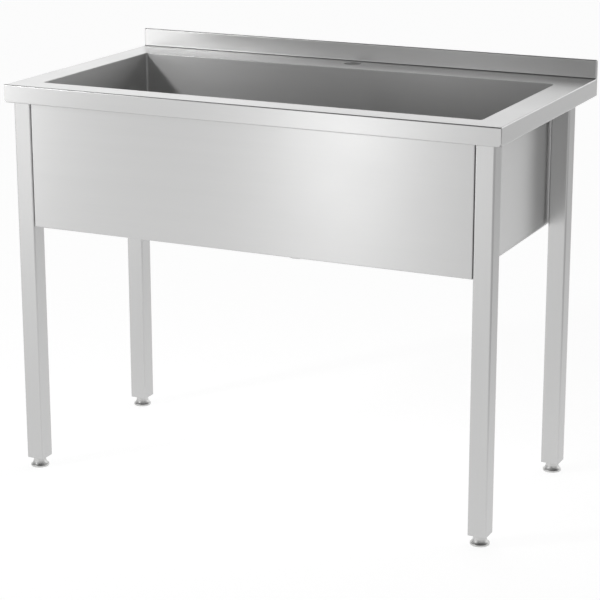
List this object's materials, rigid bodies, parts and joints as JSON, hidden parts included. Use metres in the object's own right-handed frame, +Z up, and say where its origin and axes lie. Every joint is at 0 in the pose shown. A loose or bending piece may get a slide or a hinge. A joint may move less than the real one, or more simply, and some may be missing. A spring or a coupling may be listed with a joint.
{
  "type": "utility sink",
  "caption": "Free-standing stainless utility sink: deep bowl under a folded worktop with rear upstand and tap hole, front casing panel, square tube legs on adjustable feet, lift-out standpipe.",
  "frame": {"origin": "on the floor, under the middle of the worktop's plan", "axes": "+X to the right along the worktop, +Y to the rear, +Z up"},
  "size_m": [1.1, 0.6, 0.89],
  "materials": {
    "worktop_steel": "fine satin brushed along the worktop's length",
    "bowl_steel": "fine satin brushed, slightly darker in the folds",
    "panel_steel": "fine satin brushed, soft vertical sheen bands",
    "leg_steel": "satin drawn tube, brushed along its length",
    "rail_steel": "mill finish folded channel",
    "foot_steel": "turned satin",
    "screw_steel": "bright rolled thread",
    "waste_steel": "polished",
    "seal_rubber": "matt moulded",
    "plug_plastic": "moulded",
    "nut_plastic": "moulded"
  },
  "bodies": {
    "stand": {"worktop": "worktop_steel", "bowl": "bowl_steel", "front_panel": "panel_steel", "front_rail": "rail_steel", "rear_rail": "rail_steel", "left_rail": "rail_steel", "right_rail": "rail_steel", "leg_front_left": "leg_steel", "leg_socket_front_left": "rail_steel", "leg_plug_front_left": "plug_plastic", "leg_front_right": "leg_steel", "leg_socket_front_right": "rail_steel", "leg_plug_front_right": "plug_plastic", "leg_rear_left": "leg_steel", "leg_socket_rear_left": "rail_steel", "leg_plug_rear_left": "plug_plastic", "leg_rear_right": "leg_steel", "leg_socket_rear_right": "rail_steel", "leg_plug_rear_right": "plug_plastic", "waste_body": "waste_steel", "waste_gasket": "seal_rubber", "waste_washer": "seal_rubber", "waste_backnut": "nut_plastic", "waste_strainer": "waste_steel", "leg_screws": "screw_steel", "panel_screws": "screw_steel"},
    "foot_front_left": {"foot_pad_front_left": "foot_steel"},
    "stem_front_left": {"foot_stem_front_left": "screw_steel"},
    "foot_front_right": {"foot_pad_front_right": "foot_steel"},
    "stem_front_right": {"foot_stem_front_right": "screw_steel"},
    "foot_rear_left": {"foot_pad_rear_left": "foot_steel"},
    "stem_rear_left": {"foot_stem_rear_left": "screw_steel"},
    "foot_rear_right": {"foot_pad_rear_right": "foot_steel"},
    "stem_rear_right": {"foot_stem_rear_right": "screw_steel"},
    "standpipe": {"standpipe_tube": "waste_steel", "standpipe_stopper": "seal_rubber"}
  },
  "joints": [
    {"name": "foot_slide_front_left", "type": "slide", "parent": "stand", "child": "foot_front_left", "axis": [0, 0, -1], "range_m": [0, 0.03]},
    {"name": "stem_turn_front_left", "type": "hinge", "parent": "foot_front_left", "child": "stem_front_left", "pos_m": [-0.515, -0.268, 0.02], "axis": [0, 0, -1], "range_deg": [0, 7200]},
    {"name": "foot_slide_front_right", "type": "slide", "parent": "stand", "child": "foot_front_right", "axis": [0, 0, -1], "range_m": [0, 0.03]},
    {"name": "stem_turn_front_right", "type": "hinge", "parent": "foot_front_right", "child": "stem_front_right", "pos_m": [0.515, -0.268, 0.02], "axis": [0, 0, -1], "range_deg": [0, 7200]},
    {"name": "foot_slide_rear_left", "type": "slide", "parent": "stand", "child": "foot_rear_left", "axis": [0, 0, -1], "range_m": [0, 0.03]},
    {"name": "stem_turn_rear_left", "type": "hinge", "parent": "foot_rear_left", "child": "stem_rear_left", "pos_m": [-0.515, 0.182, 0.02], "axis": [0, 0, -1], "range_deg": [0, 7200]},
    {"name": "foot_slide_rear_right", "type": "slide", "parent": "stand", "child": "foot_rear_right", "axis": [0, 0, -1], "range_m": [0, 0.03]},
    {"name": "stem_turn_rear_right", "type": "hinge", "parent": "foot_rear_right", "child": "stem_rear_right", "pos_m": [0.515, 0.182, 0.02], "axis": [0, 0, -1], "range_deg": [0, 7200]},
    {"name": "standpipe_lift", "type": "slide", "parent": "stand", "child": "standpipe", "axis": [0, 0, 1], "range_m": [0, 0.34]}
  ],
  "couplings": [
    {"joint": "stem_turn_front_left", "follows": "foot_slide_front_left", "rad_per_m": 4188.8},
    {"joint": "stem_turn_front_right", "follows": "foot_slide_front_right", "rad_per_m": 4188.8},
    {"joint": "stem_turn_rear_left", "follows": "foot_slide_rear_left", "rad_per_m": 4188.8},
    {"joint": "stem_turn_rear_right", "follows": "foot_slide_rear_right", "rad_per_m": 4188.8}
  ]
}
